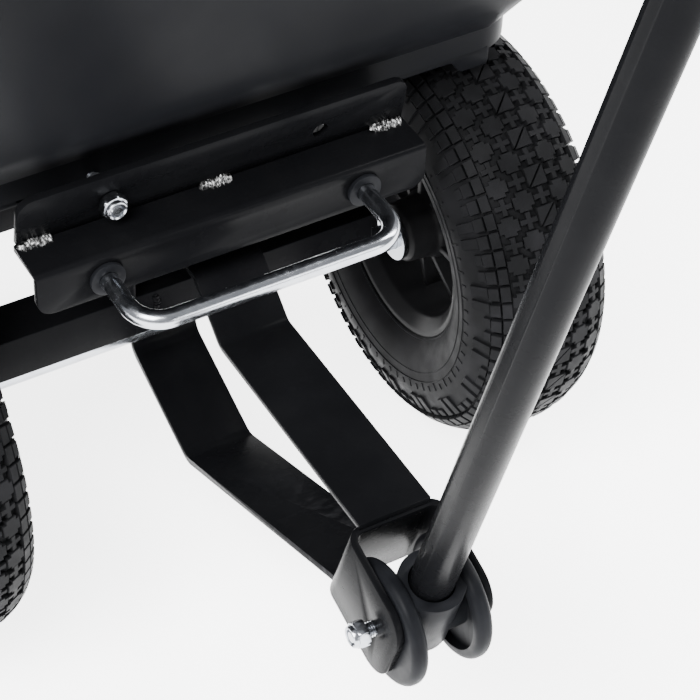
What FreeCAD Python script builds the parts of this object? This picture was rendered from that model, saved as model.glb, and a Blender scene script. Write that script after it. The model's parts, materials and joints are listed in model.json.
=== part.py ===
"""Tipping garden hand cart: plastic tub on a steel chassis, latch bracket and release handle at the
front, steered front axle with a two-strap drawbar clevis, folding drawbar and four pneumatic wheels.

Millimetres. +Z up, the ground is z = 0. The front of the cart faces -Y and X = 0 is its middle plane.
Lengthwise sizes are written from the front axle (y = 0) and every node is moved by SHIFT_Y at the end,
so that the origin lies at the middle of the cart's own footprint.
"""
import FreeCAD, Part
import math
import os

V = FreeCAD.Vector
os.makedirs("parts", exist_ok=True)

# Whole cart
REAR_AXLE_Y = 485.0
GAP = 0.5                   # air between pieces that move past each other

# Wheels
TYRE_R = 128.0
TYRE_HALF_WIDTH = 41.0
TYRE_WALL = 7.0
TRACK_HALF = 175.0          # middle plane of a wheel from the middle of the cart
FLANGE_R = 64.0
BEAD_R = 57.0
RIM_HALF_WIDTH = 31.0
RIM_WALL = 4.0
HUB_R = 20.0
HUB_HALF_LENGTH = 32.0
SPOKES = 9
SPOKE_THICK = 4.0
BUSH_R = 13.0
BUSH_LENGTH = 20.0
AXLE_R = 8.0
AXLE_Z = TYRE_R
RUN_FIT = 0.05              # radial air of a shaft that turns in a bore

# Axle beams and steering head
BEAM = 28.0                 # square tube, outside
BEAM_WALL = 2.0
BEAM_HALF_LENGTH = 118.0
BEAM_Z0 = AXLE_Z + AXLE_R
PLATE = 4.0                 # flat steel of the brackets and straps
HEAD_HALF = 52.0            # steering plates, half of their side
LOWER_PLATE_Z = 216.0
UPPER_PLATE_Z = 223.0
KINGPIN_R = 8.0

# Chassis
RAIL = 25.0
RAIL_WALL = 2.0
RAIL_X = 45.0
RAIL_Z0 = 246.5
RAIL_Y0 = 0.0
RAIL_Y1 = 555.0
CROSS_HALF = 112.0
CROSS_Y = -20.0             # front face of the front cross member
ANGLE_WALL = 3.0

# Tipping hinge of the tub
HINGE_Y = 570.0
HINGE_Z = 250.0
HINGE_R = 6.0
HINGE_LUG_R = 13.0
HINGE_BRACKET_X = 72.0

# Latch bracket and release handle
FOLD_Y = -73.0              # front edge of the lower angle
FOLD_Z = 261.0
BRACKET_HALF = 111.0
LEG_HEIGHT = 27.0
FLANGE_DEPTH = 27.0
UPPER_BASE_Y = -48.0        # front face of the upper plate at its foot
UPPER_HEIGHT = 31.0
UPPER_LEAN = 10.0           # degrees, the top leans to the front
BOLT_X = 60.0
BOLT_Z = 273.0
ROD_R = 5.0
ROD_X = 73.5
ROD_Z = 246.0
ROD_BEND = 17.0
CROSSBAR_Y = -114.0
ROD_TIP_Y = -29.0
RETAINER_Y = -51.0          # front face of the washers on the legs
SPRING_R = 7.4
SPRING_WIRE_R = 0.8
PIN_R = 1.25
CATCH_HALF = 17.0           # half width of a catch plate, and its depth below the leg
CATCH_TOP = 14.0
NOTCH_HALF = 6.5            # half width of the slots for the legs
SPRING_TURNS = 5.5

# Draw straps, clevis and drawbar
STRAP = 40.0
CLEVIS_HALF = 27.0
CLEVIS_WEB_Y = -223.0
CLEVIS_FRONT_Y = -283.0
CLEVIS_TOP_Z = 181.0
CLEVIS_HEIGHT = 57.0
PIVOT_Y = -264.0
PIVOT_Z = 152.0
CLEVIS_TILT = 17.0          # degrees that the clevis leans down to the front, about the pivot
DISC_R = 33.0
DISC_X0 = 13.5
DISC_X1 = 22.6
SOCKET_R = 17.0
HUB_SCREW_Z = 18.0
SCREW_R = 2.5
SOCKET_TOP = 30.0
TUBE_R = 11.0
TUBE_WALL = 1.5
DRAWBAR_ANGLE = 75.0        # above the ground at rest
LOWER_TUBE_END = 505.0
UPPER_TUBE_END = 640.0
LOOP_HALF = 62.0
LOOP_LENGTH = 95.0
LOOP_R = 9.0
GRIP_R = 14.0

# Tub, one row for each level: height, front, rear, half width, corner radius
TUB_WALL = 4.0
TUB_BASE_Z = 272.0
TUB_FLOOR_Z = 282.0         # underside of the floor, above the ribs that rest on the rails
PAN_FRONT_Y = -30.0
PAN_LEVELS = [
    (TUB_BASE_Z, PAN_FRONT_Y, 605.0, 195.0, 26.0),
    (287.0, PAN_FRONT_Y, 605.0, 195.0, 26.0),
    (318.0, -52.0, 620.0, 208.0, 40.0),
    (545.0, -118.0, 676.0, 240.0, 62.0),
]
SKIRT_Z0 = 262.0
SKIRT_MIDDLE_Z0 = 270.0
SKIRT_STEP_X = 152.0
LIP = 16.0
LIP_HEIGHT = 14.0
RIB_HALF = 7.0              # half width of the ribs that carry the tub on the rails

# The origin is the middle of the whole cart, between the hand grip and the rear of the rim
FRONT_END = (PIVOT_Y - GRIP_R
             - (UPPER_TUBE_END + LOOP_R + LOOP_LENGTH) * math.cos(math.radians(DRAWBAR_ANGLE)))
REAR_END = PAN_LEVELS[-1][2] + LIP
SHIFT_Y = -(FRONT_END + REAR_END) / 2


def box(x0, x1, y0, y1, z0, z1):
    return Part.makeBox(x1 - x0, y1 - y0, z1 - z0, V(x0, y0, z0))


def cylinder_x(x0, x1, y, z, radius):
    return Part.makeCylinder(radius, x1 - x0, V(x0, y, z), V(1, 0, 0))


def cylinder_y(x, y0, y1, z, radius):
    return Part.makeCylinder(radius, y1 - y0, V(x, y0, z), V(0, 1, 0))


def cylinder_z(x, y, z0, z1, radius):
    return Part.makeCylinder(radius, z1 - z0, V(x, y, z0), V(0, 0, 1))


def hexagon(centre, axis, across_flats, height):
    """A hexagonal prism that starts at centre and grows along axis."""
    axis = V(*axis)
    side = V(0, 0, 1) if abs(axis.z) < 0.5 else V(1, 0, 0)
    across = axis.cross(side)
    radius = across_flats / math.sqrt(3)
    corners = []
    for k in range(7):
        turn = math.radians(60 * (k % 6))
        corners.append(centre + side * (radius * math.cos(turn)) + across * (radius * math.sin(turn)))
    return Part.Face(Part.makePolygon(corners)).extrude(axis * height)


def mirrored(shape):
    return shape.mirror(V(0, 0, 0), V(1, 0, 0))


def both_sides(shape):
    return [shape, mirrored(shape)]


def group(solids):
    return Part.makeCompound(solids)


def bend_points(points, radius):
    """Tangent points and arc middles of a path with a bend of the given radius at each inner point."""
    bends = []
    for before, corner, after in zip(points, points[1:], points[2:]):
        back = (before - corner).normalize()
        ahead = (after - corner).normalize()
        half_angle = back.getAngle(ahead) / 2
        reach = radius / math.tan(half_angle)
        inward = (back + ahead).normalize()
        centre = corner + inward * (radius / math.sin(half_angle))
        bends.append((corner + back * reach, centre - inward * radius, corner + ahead * reach, centre))
    return bends


def bent_path(points, radius):
    """Straight runs joined by tangent arcs."""
    edges = []
    start = points[0]
    for first, middle, last, _ in bend_points(points, radius):
        edges.append(Part.LineSegment(start, first).toShape())
        edges.append(Part.Arc(first, middle, last).toShape())
        start = last
    edges.append(Part.LineSegment(start, points[-1]).toShape())
    return Part.Wire(edges)


def rod(points, bend, radius):
    path = bent_path(points, bend)
    along = (points[1] - points[0]).normalize()
    section = Part.Wire(Part.Circle(points[0], along, radius).toShape())
    return Part.Wire(path).makePipeShell([section], True, True)


def bent_strap(points, bend, thickness, x0, x1):
    """Flat bar bent in the YZ plane; points are its middle line and run from end to end."""
    rails = ([], [])
    count = len(points)
    bends = bend_points(points, bend)
    for side, rail in zip((1.0, -1.0), rails):
        offset = side * thickness / 2
        for i in range(count):
            if 0 < i < count - 1:
                first, middle, last, centre = bends[i - 1]
                before = (points[i] - points[i - 1]).normalize()
                turn_left = before.cross(points[i + 1] - points[i]).x > 0
                outward = -offset if turn_left else offset
                rail.append([p + (p - centre).normalize() * outward for p in (first, middle, last)])
            else:
                neighbour = points[1] - points[0] if i == 0 else points[-1] - points[-2]
                normal = V(1, 0, 0).cross(neighbour).normalize()
                rail.append([points[i] + normal * offset])
    edges = []
    for rail in rails:
        for here, following in zip(rail, rail[1:]):
            edges.append(Part.LineSegment(here[-1], following[0]).toShape())
        for bent in rail:
            if len(bent) == 3:
                edges.append(Part.Arc(*bent).toShape())
    for end in (0, -1):
        corner = -1 if end else 0
        edges.append(Part.LineSegment(rails[0][end][corner], rails[1][end][corner]).toShape())
    outline = Part.Wire(Part.__sortEdges__(edges))
    flat = Part.Face(outline)
    flat.translate(V(x0, 0, 0))
    return flat.extrude(V(x1 - x0, 0, 0))


def square_tube(x0, x1, y0, y1, z0, z1, wall, along):
    """A hollow box section; the hollow runs along the named axis."""
    grow = {axis: (0.0 if axis == along else wall) for axis in "xyz"}
    hollow = box(x0 + grow["x"], x1 - grow["x"], y0 + grow["y"], y1 - grow["y"],
                 z0 + grow["z"], z1 - grow["z"])
    return box(x0, x1, y0, y1, z0, z1).cut(hollow)


def nyloc_nut(centre, axis, radius, across_flats, height):
    """Hexagon nut with a round collar, bored for its bolt."""
    axis_vector = V(*axis)
    hex_height = height * 0.7
    hex_part = hexagon(centre, axis, across_flats, hex_height)
    collar = Part.makeCylinder(across_flats * 0.44, height - hex_height, centre + axis_vector * hex_height,
                               axis_vector)
    bore = Part.makeCylinder(radius, height + 2, centre - axis_vector, axis_vector)
    return hex_part.fuse(collar).cut(bore)


def washer_x(x0, thickness, y, z, inner, outer):
    hole = cylinder_x(x0 - 1, x0 + thickness + 1, y, z, inner)
    return cylinder_x(x0, x0 + thickness, y, z, outer).cut(hole)


def revolve_about_x(outline):
    return Part.Face(outline).revolve(V(0, 0, 0), V(1, 0, 0), 360)


# ---------------------------------------------------------------- wheels

def tyre_at_origin():
    """Hollow pneumatic tyre; profile in the XZ plane (X across, Z radius)."""
    half_bead = RIM_HALF_WIDTH - 4.0
    shoulder_r = TYRE_R - 20.0
    middle_r = 94.0
    outer = [
        Part.Arc(V(-half_bead, 0, FLANGE_R + 1), V(-TYRE_HALF_WIDTH, 0, middle_r),
                 V(-TYRE_HALF_WIDTH + 4, 0, shoulder_r)).toShape(),
        Part.Arc(V(-TYRE_HALF_WIDTH + 4, 0, shoulder_r), V(0, 0, TYRE_R),
                 V(TYRE_HALF_WIDTH - 4, 0, shoulder_r)).toShape(),
        Part.Arc(V(TYRE_HALF_WIDTH - 4, 0, shoulder_r), V(TYRE_HALF_WIDTH, 0, middle_r),
                 V(half_bead, 0, FLANGE_R + 1)).toShape(),
    ]
    inner_half = TYRE_HALF_WIDTH - TYRE_WALL
    inner = [
        Part.LineSegment(V(half_bead, 0, FLANGE_R + 1), V(half_bead, 0, BEAD_R)).toShape(),
        Part.LineSegment(V(half_bead, 0, BEAD_R), V(half_bead - 9, 0, BEAD_R)).toShape(),
        Part.LineSegment(V(half_bead - 9, 0, BEAD_R), V(half_bead - 9, 0, FLANGE_R + 6)).toShape(),
        Part.Arc(V(half_bead - 9, 0, FLANGE_R + 6), V(inner_half, 0, middle_r),
                 V(inner_half - 5, 0, shoulder_r)).toShape(),
        Part.Arc(V(inner_half - 5, 0, shoulder_r), V(0, 0, TYRE_R - TYRE_WALL - 2),
                 V(5 - inner_half, 0, shoulder_r)).toShape(),
        Part.Arc(V(5 - inner_half, 0, shoulder_r), V(-inner_half, 0, middle_r),
                 V(9 - half_bead, 0, FLANGE_R + 6)).toShape(),
        Part.LineSegment(V(9 - half_bead, 0, FLANGE_R + 6), V(9 - half_bead, 0, BEAD_R)).toShape(),
        Part.LineSegment(V(9 - half_bead, 0, BEAD_R), V(-half_bead, 0, BEAD_R)).toShape(),
        Part.LineSegment(V(-half_bead, 0, BEAD_R), V(-half_bead, 0, FLANGE_R + 1)).toShape(),
    ]
    return revolve_about_x(Part.Wire(Part.__sortEdges__(outer + inner)))


def rim_at_origin():
    """Moulded rim: barrel with two flanges, hub tube and thin radial spokes."""
    barrel = cylinder_x(-RIM_HALF_WIDTH, RIM_HALF_WIDTH, 0, 0, BEAD_R)
    flange = cylinder_x(RIM_HALF_WIDTH - 4, RIM_HALF_WIDTH, 0, 0, FLANGE_R)
    shell = barrel.fuse([flange, mirrored(flange)])
    shell = shell.cut(cylinder_x(-RIM_HALF_WIDTH - 1, RIM_HALF_WIDTH + 1, 0, 0, BEAD_R - RIM_WALL))
    hub = cylinder_x(-HUB_HALF_LENGTH, HUB_HALF_LENGTH, 0, 0, HUB_R)
    web = cylinder_x(-2.0, 2.0, 0, 0, HUB_R + 10)
    spokes = []
    for k in range(SPOKES):
        spoke = box(-RIM_HALF_WIDTH + 10, RIM_HALF_WIDTH - 10, -SPOKE_THICK / 2, SPOKE_THICK / 2, HUB_R - 2,
                    BEAD_R - RIM_WALL + 1)
        spoke.rotate(V(0, 0, 0), V(1, 0, 0), 360.0 * k / SPOKES)
        spokes.append(spoke)
    body = hub.fuse([web, shell] + spokes)
    body = body.cut(cylinder_x(-HUB_HALF_LENGTH - 1, HUB_HALF_LENGTH + 1, 0, 0, AXLE_R + 2))
    pocket = cylinder_x(HUB_HALF_LENGTH - BUSH_LENGTH, HUB_HALF_LENGTH + 1, 0, 0, BUSH_R)
    body = body.cut(pocket).cut(mirrored(pocket))
    return body


def bushes_at_origin():
    bush = washer_x(HUB_HALF_LENGTH - BUSH_LENGTH, BUSH_LENGTH, 0, 0, AXLE_R + RUN_FIT, BUSH_R)
    return group(both_sides(bush))


def place_wheel(shape, side, axle_y):
    placed = shape.copy()
    if side < 0:
        placed = mirrored(placed)
    placed.translate(V(side * TRACK_HALF, axle_y, AXLE_Z))
    return placed


# ---------------------------------------------------------------- axles

def axle_beam(y):
    half = BEAM / 2
    return square_tube(-BEAM_HALF_LENGTH, BEAM_HALF_LENGTH, y - half, y + half, BEAM_Z0, BEAM_Z0 + BEAM,
                       BEAM_WALL, "x")


def axle_rod(y):
    end = TRACK_HALF + HUB_HALF_LENGTH + 14
    shape = cylinder_x(-end, end, y, AXLE_Z, AXLE_R)
    for x in (-end + 6, end - 6):
        shape = shape.cut(cylinder_z(x, y, AXLE_Z - 20, AXLE_Z + 20, 2.0))
    return shape


def axle_washers(y):
    outer = TRACK_HALF + HUB_HALF_LENGTH + GAP
    inner = TRACK_HALF - HUB_HALF_LENGTH - GAP
    pair = [washer_x(outer, 3, y, AXLE_Z, AXLE_R, 15), washer_x(inner - 3, 3, y, AXLE_Z, AXLE_R, 15)]
    return group(pair + [mirrored(s) for s in pair])


def axle_cotters(y):
    x = TRACK_HALF + HUB_HALF_LENGTH + 8
    pin = cylinder_z(x, y, AXLE_Z - 13, AXLE_Z + 11, 2.0)
    eye = Part.makeTorus(3.0, 1.5, V(x, y, AXLE_Z + 14), V(1, 0, 0))
    return group(both_sides(pin.fuse(eye)))


def rear_axle_frame():
    """Uprights from the rear beam to the rails, each with a forward brace."""
    half = BEAM / 2
    upright = box(RAIL_X - 2.5, RAIL_X + 2.5, REAR_AXLE_Y - half, REAR_AXLE_Y + half, BEAM_Z0 + BEAM, RAIL_Z0)
    return group(both_sides(upright))


def rear_braces():
    under_rail = RAIL_Z0 - PLATE / 2
    on_beam = REAR_AXLE_Y - BEAM / 2 - PLATE / 2
    points = [V(0, REAR_AXLE_Y - 110, under_rail), V(0, REAR_AXLE_Y - 85, under_rail),
              V(0, on_beam, BEAM_Z0 + BEAM - 4), V(0, on_beam, BEAM_Z0 + 4)]
    return group(both_sides(bent_strap(points, 7, PLATE, RAIL_X - 12, RAIL_X + 12)))


# ---------------------------------------------------------------- steering head

def steering_plate(z0):
    plate = box(-HEAD_HALF, HEAD_HALF, -HEAD_HALF, HEAD_HALF, z0, z0 + PLATE)
    corners = [e for e in plate.Edges if abs(e.Vertexes[0].Z - e.Vertexes[-1].Z) > 1]
    return plate.makeFillet(12, corners)


def lower_steering_plate():
    return steering_plate(LOWER_PLATE_Z).cut(cylinder_z(0, 0, 200, 240, KINGPIN_R + RUN_FIT))


def upper_steering_plate():
    return steering_plate(UPPER_PLATE_Z).cut(cylinder_z(0, 0, 200, 240, KINGPIN_R))


def steering_wear_disc():
    z0 = LOWER_PLATE_Z + PLATE + 0.4
    disc = cylinder_z(0, 0, z0, UPPER_PLATE_Z, 40)
    return disc.cut(cylinder_z(0, 0, z0 - 1, UPPER_PLATE_Z + 1, KINGPIN_R + 0.5))


def steering_spacers():
    spacer = square_tube(RAIL_X - 12.5, RAIL_X + 12.5, RAIL_Y0, HEAD_HALF - 4, UPPER_PLATE_Z + PLATE, RAIL_Z0,
                         RAIL_WALL, "y")
    return group(both_sides(spacer))


def steering_uprights():
    upright = box(30, 35, -BEAM / 2, BEAM / 2, BEAM_Z0 + BEAM, LOWER_PLATE_Z)
    return group(both_sides(upright))


def kingpin():
    shank = cylinder_z(0, 0, LOWER_PLATE_Z - 26, UPPER_PLATE_Z + PLATE, KINGPIN_R)
    return shank.fuse(hexagon(V(0, 0, UPPER_PLATE_Z + PLATE), (0, 0, 1), 24, 10))


def kingpin_nut():
    """Flanged lock nut, a little below the plate that turns on the pin."""
    top = LOWER_PLATE_Z - 0.4
    flange = cylinder_z(0, 0, top - 3, top, 15).cut(cylinder_z(0, 0, top - 4, top + 1, KINGPIN_R))
    return nyloc_nut(V(0, 0, top - 3), (0, 0, -1), KINGPIN_R, 24, 16).fuse(flange)


def steering_stop_stud():
    """Round-headed bolt at the front corner of the lower steering plate."""
    x, y = -38.0, -42.0
    head = Part.makeSphere(7.5, V(x, y, LOWER_PLATE_Z + PLATE - 3.5)).common(
        box(x - 9, x + 9, y - 9, y + 9, LOWER_PLATE_Z + PLATE, LOWER_PLATE_Z + PLATE + 2.4))
    return head


# ---------------------------------------------------------------- chassis

def chassis_rails():
    rail = square_tube(RAIL_X - RAIL / 2, RAIL_X + RAIL / 2, RAIL_Y0, RAIL_Y1, RAIL_Z0, RAIL_Z0 + RAIL,
                       RAIL_WALL, "y")
    return group(both_sides(rail))


def front_cross_member():
    """Angle with its upright flange to the front, notched round the latch pins."""
    top = RAIL_Z0 + RAIL
    upright = box(-CROSS_HALF, CROSS_HALF, CROSS_Y, CROSS_Y + ANGLE_WALL, RAIL_Z0, top)
    ledge = box(-CROSS_HALF, CROSS_HALF, CROSS_Y, RAIL_Y0, top - ANGLE_WALL, top)
    shape = upright.fuse(ledge)
    notch = box(ROD_X - NOTCH_HALF, ROD_X + NOTCH_HALF, CROSS_Y - 1, CROSS_Y + ANGLE_WALL + 1, RAIL_Z0 - 1,
                ROD_Z + NOTCH_HALF)
    return shape.cut(notch).cut(mirrored(notch))


def catch_plates():
    """Plates with a slot from below: the leg in it can't rise, so it holds the tub down."""
    foot = ROD_Z - CATCH_HALF
    plate = box(ROD_X - CATCH_HALF, ROD_X + CATCH_HALF, CROSS_Y - PLATE, CROSS_Y, foot, ROD_Z + CATCH_TOP)
    slot = box(ROD_X - NOTCH_HALF, ROD_X + NOTCH_HALF, CROSS_Y - PLATE - 1, CROSS_Y + 1, foot - 1,
               ROD_Z + NOTCH_HALF)
    return group(both_sides(plate.cut(slot)))


def cross_members():
    """Two tubes between the rails, in the middle and at the rear."""
    inner = RAIL_X - RAIL / 2
    tubes = []
    for y0 in (250.0, RAIL_Y1 - 12 - RAIL):
        tubes.append(square_tube(-inner, inner, y0, y0 + RAIL, RAIL_Z0, RAIL_Z0 + RAIL, RAIL_WALL, "x"))
    return group(tubes)


def hinge_lugs():
    """Rounded plates on the outer faces of the rails that hold the hinge rod."""
    x0 = RAIL_X + RAIL / 2
    plate = box(x0, x0 + 5, RAIL_Y1 - 45, HINGE_Y, HINGE_Z - HINGE_LUG_R, HINGE_Z + HINGE_LUG_R)
    round_end = cylinder_x(x0, x0 + 5, HINGE_Y, HINGE_Z, HINGE_LUG_R)
    bore = cylinder_x(x0 - 1, x0 + 6, HINGE_Y, HINGE_Z, HINGE_R)
    return group(both_sides(plate.fuse(round_end).cut(bore)))


def hinge_rod():
    end = HINGE_BRACKET_X + 16
    return cylinder_x(-end, end, HINGE_Y, HINGE_Z, HINGE_R)


def rail_caps():
    """Plastic plugs in the rear ends of the rails."""
    half = RAIL / 2
    head = box(RAIL_X - half, RAIL_X + half, RAIL_Y1, RAIL_Y1 + 2, RAIL_Z0, RAIL_Z0 + RAIL - 2)
    inside = half - RAIL_WALL
    plug = box(RAIL_X - inside, RAIL_X + inside, RAIL_Y1 - 12, RAIL_Y1, RAIL_Z0 + RAIL_WALL,
               RAIL_Z0 + RAIL - RAIL_WALL)
    return group(both_sides(head.fuse(plug)))


# ---------------------------------------------------------------- tub

def rounded_level(level, inset=0.0, z=None):
    """Closed wire of one level of the tub, moved inwards by inset."""
    height, front, rear, half_width, radius = level
    height = height if z is None else z
    x = half_width - inset
    y0 = front + inset
    y1 = rear - inset
    r = max(radius - inset, 4.0)
    k = r * (1 - math.sqrt(0.5))

    def line(a, b):
        return Part.LineSegment(V(*a, height), V(*b, height)).toShape()

    def arc(a, b, c):
        return Part.Arc(V(*a, height), V(*b, height), V(*c, height)).toShape()

    return Part.Wire([
        line((-x + r, y0), (x - r, y0)),
        arc((x - r, y0), (x - k, y0 + k), (x, y0 + r)),
        line((x, y0 + r), (x, y1 - r)),
        arc((x, y1 - r), (x - k, y1 - k), (x - r, y1)),
        line((x - r, y1), (-x + r, y1)),
        arc((-x + r, y1), (-x + k, y1 - k), (-x, y1 - r)),
        line((-x, y1 - r), (-x, y0 + r)),
        arc((-x, y0 + r), (-x + k, y0 + k), (-x + r, y0)),
    ])


def stacked(levels, inset=0.0):
    """Solid between neighbouring levels."""
    pieces = []
    for low, high in zip(levels, levels[1:]):
        pieces.append(Part.makeLoft([rounded_level(low, inset), rounded_level(high, inset)], True, True))
    return pieces[0].fuse(pieces[1:])


def level_between(low, high, z):
    share = (z - low[0]) / (high[0] - low[0])
    return (z,) + tuple(a + (b - a) * share for a, b in zip(low[1:], high[1:]))


def tub():
    """Open moulded tub with a rolled rim and a stepped skirt below its front wall."""
    outer = stacked(PAN_LEVELS)
    floor_top = level_between(PAN_LEVELS[0], PAN_LEVELS[1], TUB_FLOOR_Z + TUB_WALL)
    cavity = stacked([floor_top] + PAN_LEVELS[1:], TUB_WALL)
    rim = PAN_LEVELS[-1]
    outer_rim = (rim[0], rim[1] - LIP, rim[2] + LIP, rim[3] + LIP, rim[4] + LIP)
    lip_foot = rim[0] - LIP_HEIGHT
    lip = Part.makeLoft([rounded_level(outer_rim, 0, lip_foot), rounded_level(outer_rim)], True, True)
    hollow_foot = rounded_level(outer_rim, TUB_WALL, lip_foot - 1)
    hollow_top = rounded_level(outer_rim, TUB_WALL, rim[0] - TUB_WALL)
    lip = lip.cut(Part.makeLoft([hollow_foot, hollow_top], True, True))
    skirt_half = PAN_LEVELS[0][3] - 20
    skirt_back = PAN_FRONT_Y + TUB_WALL
    skirt = box(-skirt_half, skirt_half, PAN_FRONT_Y, skirt_back, SKIRT_Z0, TUB_BASE_Z + 1)
    step = box(-SKIRT_STEP_X, SKIRT_STEP_X, PAN_FRONT_Y - 1, skirt_back + 5, 200, SKIRT_MIDDLE_Z0)
    skirt = skirt.cut(step)
    base = PAN_LEVELS[0]
    recess = Part.makeLoft([rounded_level(base, TUB_WALL, TUB_BASE_Z - 1),
                            rounded_level(base, TUB_WALL, TUB_FLOOR_Z)], True, True)
    rib = box(RAIL_X - RIB_HALF, RAIL_X + RIB_HALF, base[1] + 1, base[2] - 1, TUB_BASE_Z, TUB_FLOOR_Z + 1)
    body = outer.fuse([lip, skirt]).cut(cavity).cut(recess).fuse([rib, mirrored(rib)])
    for x in (-BOLT_X, BOLT_X):
        body = body.cut(cylinder_y(x, PAN_FRONT_Y - 5, PAN_FRONT_Y + 9, BOLT_Z, 4.0))
    return body.removeSplitter()


def hinge_brackets():
    """Angles under the tub floor that turn on the hinge rod."""
    x0 = HINGE_BRACKET_X
    upright = box(x0, x0 + PLATE, HINGE_Y - 20, HINGE_Y + 20, HINGE_Z, TUB_FLOOR_Z)
    round_end = cylinder_x(x0, x0 + PLATE, HINGE_Y, HINGE_Z, HINGE_LUG_R)
    ledge = box(x0, x0 + 34, HINGE_Y - 20, HINGE_Y + 20, TUB_FLOOR_Z - PLATE, TUB_FLOOR_Z)
    bore = cylinder_x(x0 - 1, x0 + 9, HINGE_Y, HINGE_Z, HINGE_R + RUN_FIT)
    flank = box(x0 - 1, x0 + 9, HINGE_Y - 21, HINGE_Y - HINGE_LUG_R, HINGE_Z - 1, HINGE_Z + 8)
    flank_rear = box(x0 - 1, x0 + 9, HINGE_Y + HINGE_LUG_R, HINGE_Y + 21, HINGE_Z - 1, HINGE_Z + 8)
    shape = upright.fuse([round_end, ledge]).cut(bore).cut(flank).cut(flank_rear)
    for y in (HINGE_Y - 11, HINGE_Y + 11):
        shape = shape.cut(cylinder_z(x0 + 22, y, 200, 300, 3.1))
    return group(both_sides(shape))


def hinge_bracket_screws():
    """Round-headed screws up through the brackets into the tub floor."""
    solids = []
    for y in (HINGE_Y - 11, HINGE_Y + 11):
        x = HINGE_BRACKET_X + 22
        shank = cylinder_z(x, y, TUB_FLOOR_Z - PLATE, TUB_FLOOR_Z, 3.0)
        head = cylinder_z(x, y, TUB_FLOOR_Z - PLATE - 3, TUB_FLOOR_Z - PLATE, 5.5)
        solids += both_sides(shank.fuse(head))
    return group(solids)


# ---------------------------------------------------------------- latch

def lower_angle():
    """Angle with a vertical front leg, bored for the legs of the release handle."""
    radius = 9.0
    leg = box(-BRACKET_HALF, BRACKET_HALF, FOLD_Y, FOLD_Y + PLATE, FOLD_Z - LEG_HEIGHT, FOLD_Z)
    corners = [e for e in leg.Edges
               if abs(e.Vertexes[0].Y - e.Vertexes[-1].Y) > 1 and e.Vertexes[0].Z < FOLD_Z - 5]
    leg = leg.makeFillet(radius, corners)
    flange = box(-BRACKET_HALF, BRACKET_HALF, FOLD_Y, FOLD_Y + FLANGE_DEPTH, FOLD_Z - PLATE, FOLD_Z)
    shape = leg.fuse(flange).removeSplitter()
    fold = [e for e in shape.Edges if e.Length > 200 and all(
        abs(v.Y - FOLD_Y) < 0.01 and abs(v.Z - FOLD_Z) < 0.01 for v in e.Vertexes)]
    shape = shape.makeFillet(3.0, fold)
    for x in (-ROD_X, ROD_X):
        shape = shape.cut(cylinder_y(x, FOLD_Y - 5, FOLD_Y + 10, ROD_Z, ROD_R + 3))
    return shape


def upper_plate():
    """Leaning plate welded on the angle, bored for the bolts into the tub."""
    half = BRACKET_HALF - 1
    plate = box(-half, half, UPPER_BASE_Y, UPPER_BASE_Y + PLATE, FOLD_Z, FOLD_Z + UPPER_HEIGHT)
    corners = [e for e in plate.Edges
               if abs(e.Vertexes[0].Y - e.Vertexes[-1].Y) > 1 and e.Vertexes[0].Z > FOLD_Z + 5]
    plate = plate.makeFillet(9.0, corners)
    plate.rotate(V(0, UPPER_BASE_Y, FOLD_Z), V(1, 0, 0), UPPER_LEAN)
    for x in (-BOLT_X, BOLT_X):
        plate = plate.cut(cylinder_y(x, UPPER_BASE_Y - 20, UPPER_BASE_Y + 20, BOLT_Z, 4.4))
    return plate


def latch_bolt():
    """Bolt of the bracket; its head is behind the front skirt of the tub."""
    shank = cylinder_y(-BOLT_X, UPPER_BASE_Y - 11, PAN_FRONT_Y + TUB_WALL, BOLT_Z, 4.0)
    head = hexagon(V(-BOLT_X, PAN_FRONT_Y + TUB_WALL, BOLT_Z), (0, 1, 0), 13, 5)
    return shank.fuse(head)


def latch_nut():
    return nyloc_nut(V(-BOLT_X, UPPER_BASE_Y - 3.6, BOLT_Z), (0, -1, 0), 4.0, 13, 8)


def handle_bushes():
    """Flanged plastic bushes that guide the handle in the angle."""
    flange = cylinder_y(ROD_X, FOLD_Y - 2.5, FOLD_Y, ROD_Z, 9.5)
    barrel = cylinder_y(ROD_X, FOLD_Y, FOLD_Y + PLATE + 2, ROD_Z, ROD_R + 3)
    bore = cylinder_y(ROD_X, FOLD_Y - 9, FOLD_Y + 19, ROD_Z, ROD_R + RUN_FIT)
    return group(both_sides(flange.fuse(barrel).cut(bore)))


def release_handle():
    points = [V(-ROD_X, ROD_TIP_Y, ROD_Z), V(-ROD_X, CROSSBAR_Y, ROD_Z), V(ROD_X, CROSSBAR_Y, ROD_Z),
              V(ROD_X, ROD_TIP_Y, ROD_Z)]
    return rod(points, ROD_BEND, ROD_R).cut(handle_pins())


def handle_washers():
    y0 = RETAINER_Y
    ring = cylinder_y(ROD_X, y0, y0 + 1.6, ROD_Z, 10).cut(cylinder_y(ROD_X, y0 - 1, y0 + 3, ROD_Z, ROD_R))
    return group(both_sides(ring))


def handle_pins():
    """Roll pins that hold the washers on the legs."""
    return group(both_sides(cylinder_z(ROD_X, RETAINER_Y + 2.9, ROD_Z - 8, ROD_Z + 8, PIN_R)))


def latch_springs():
    """Compression springs between the angle and the washers."""
    y0 = FOLD_Y + PLATE + 3
    length = RETAINER_Y - y0 - 2 * SPRING_WIRE_R - GAP
    pitch = length / SPRING_TURNS
    helix = Part.makeHelix(pitch, length, SPRING_R)
    section = Part.Wire(Part.Circle(V(SPRING_R, 0, 0), V(0, 1, 0), SPRING_WIRE_R).toShape())
    spring = Part.Wire(helix).makePipeShell([section], True, True)
    spring.rotate(V(0, 0, 0), V(1, 0, 0), -90)
    spring.translate(V(ROD_X, y0 + SPRING_WIRE_R, ROD_Z))
    return group(both_sides(spring))


# ---------------------------------------------------------------- draw straps and clevis

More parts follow.
